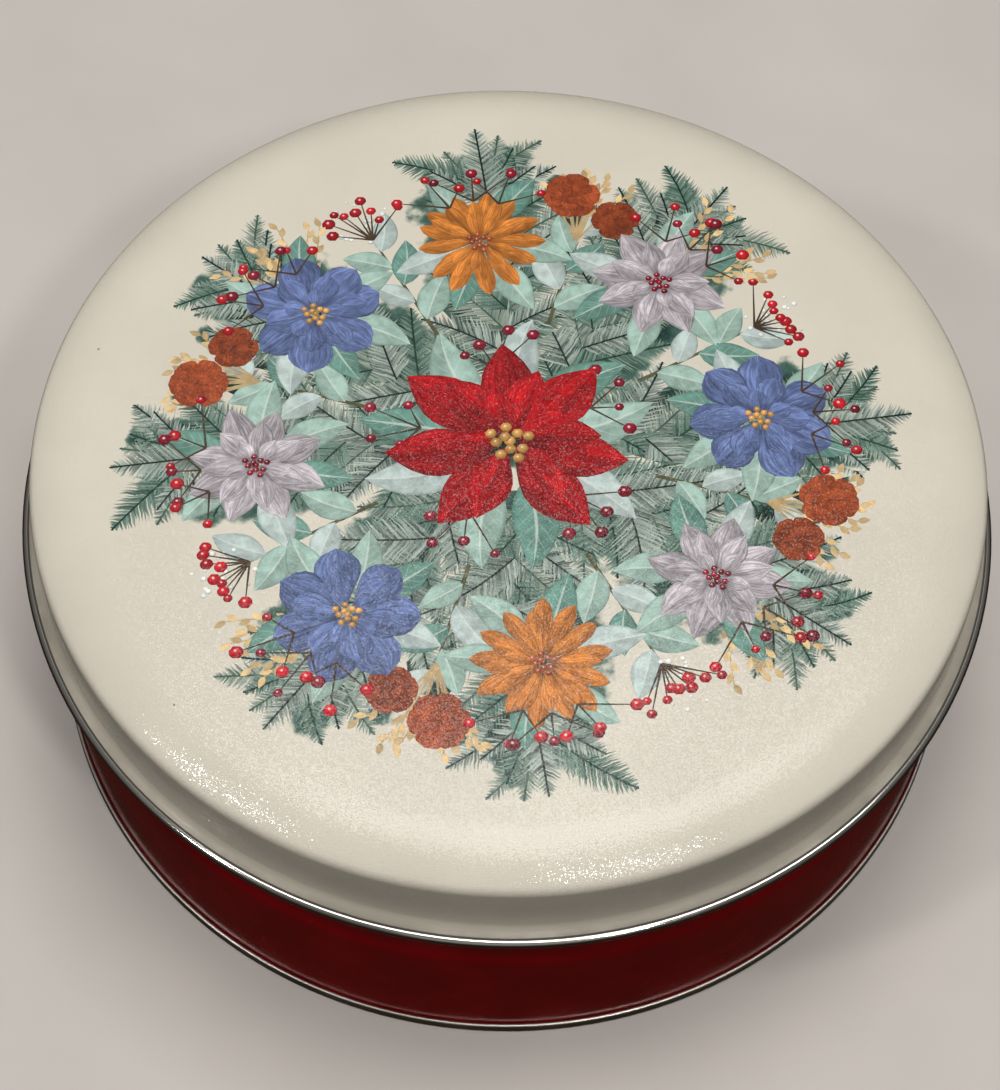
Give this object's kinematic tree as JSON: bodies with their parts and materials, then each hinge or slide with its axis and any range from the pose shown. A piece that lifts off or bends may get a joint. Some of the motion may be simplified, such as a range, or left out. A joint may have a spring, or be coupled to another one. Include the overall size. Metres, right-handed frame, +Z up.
{
  "type": "round decorative tin",
  "caption": "Round sheet-steel keepsake tin with a lift-off lid, a necked red body wall and a seamed bottom end.",
  "frame": {"origin": "centre of the seam ring that the tin stands on, at the height of its underside", "axes": "+Z up along the tin's own axis, which is also the way the lid lifts off; the wall's side seam is at the back, on the +Y side"},
  "size_m": [0.23, 0.23, 0.0822],
  "materials": {
    "ivory_enamel": "satin ivory enamel with a printed panel, bare at the rolled rim",
    "red_enamel": "glossy deep red enamel",
    "bare_tinplate": "bright rolled tinplate"
  },
  "bodies": {
    "box": {"body_wall": "red_enamel", "bottom_end": "bare_tinplate"},
    "lid": {"lid_shell": "ivory_enamel"}
  },
  "joints": [
    {"name": "lid_lift", "type": "slide", "parent": "box", "child": "lid", "axis": [0, 0, 1], "range_m": [0, 0.06]}
  ]
}
